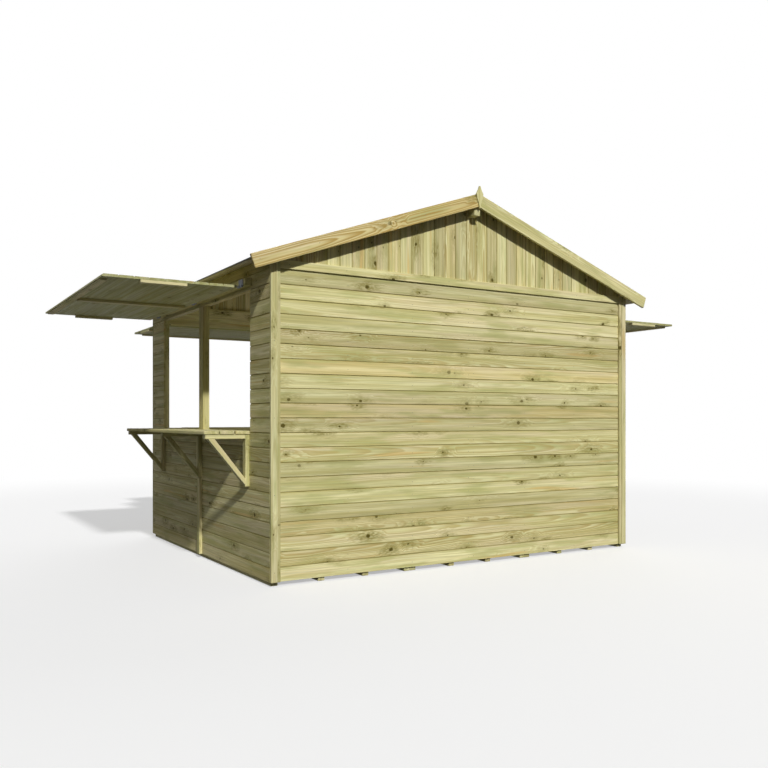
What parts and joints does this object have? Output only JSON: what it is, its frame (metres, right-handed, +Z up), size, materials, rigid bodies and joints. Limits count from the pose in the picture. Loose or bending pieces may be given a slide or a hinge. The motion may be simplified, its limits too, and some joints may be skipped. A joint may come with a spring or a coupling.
{
  "type": "wooden market stall",
  "caption": "Timber market stall hut with an apex roof, board walls, bracketed counters and top-hung serving hatches that swing down to close the openings.",
  "frame": {"origin": "on the ground, at the middle of the whole stall's plan with its hatches open", "axes": "+X along the width of the gables, +Y from the closed gable towards the serving gable, +Z up"},
  "size_m": [4.84, 3.512, 2.6009],
  "materials": {
    "timber": "sawn and planed pressure-treated pine",
    "felt": "mineral roofing felt",
    "zinc": "zinc-plated"
  },
  "bodies": {
    "stall": {"floor_bearers": "timber", "floor_deck": "timber", "closed_gable_boards": "timber", "closed_gable_peak": "timber", "closed_gable_studs": "timber", "closed_gable_plates": "timber", "serving_gable_lower_boards": "timber", "serving_gable_piers": "timber", "serving_gable_header_boards": "timber", "serving_gable_peak": "timber", "serving_gable_studs": "timber", "serving_gable_plates": "timber", "gable_rails": "timber", "gable_rafters": "timber", "side_wall_lower_boards": "timber", "side_wall_piers": "timber", "side_wall_header_boards": "timber", "side_wall_studs": "timber", "side_wall_plates": "timber", "corner_trims": "timber", "joint_strips": "timber", "sills": "timber", "left_counter": "timber", "right_counter": "timber", "serving_counter": "timber", "bracket_legs": "timber", "bracket_arms": "timber", "bracket_braces": "timber", "roof_purlins": "timber", "roof_deck_left": "timber", "roof_deck_right": "timber", "roof_felt": "felt", "bargeboards": "timber", "finials": "timber", "hinge_ledgers": "timber", "hinge_leaves": "zinc"},
    "left_hatch": {"left_hatch_boards": "timber", "left_hatch_battens": "timber", "left_hatch_straps": "zinc"},
    "right_hatch": {"right_hatch_boards": "timber", "right_hatch_battens": "timber", "right_hatch_straps": "zinc"},
    "serving_hatch": {"serving_hatch_boards": "timber", "serving_hatch_battens": "timber", "serving_hatch_straps": "zinc"}
  },
  "joints": [
    {"name": "left_hatch_hinge", "type": "hinge", "parent": "stall", "child": "left_hatch", "pos_m": [-1.562, -0.404, 1.842], "axis": [0, -1, 0], "range_deg": [0, 90]},
    {"name": "right_hatch_hinge", "type": "hinge", "parent": "stall", "child": "right_hatch", "pos_m": [1.562, -0.404, 1.842], "axis": [0, 1, 0], "range_deg": [0, 90]},
    {"name": "serving_hatch_hinge", "type": "hinge", "parent": "stall", "child": "serving_hatch", "pos_m": [0, 0.898, 1.842], "axis": [-1, 0, 0], "range_deg": [0, 90]}
  ]
}
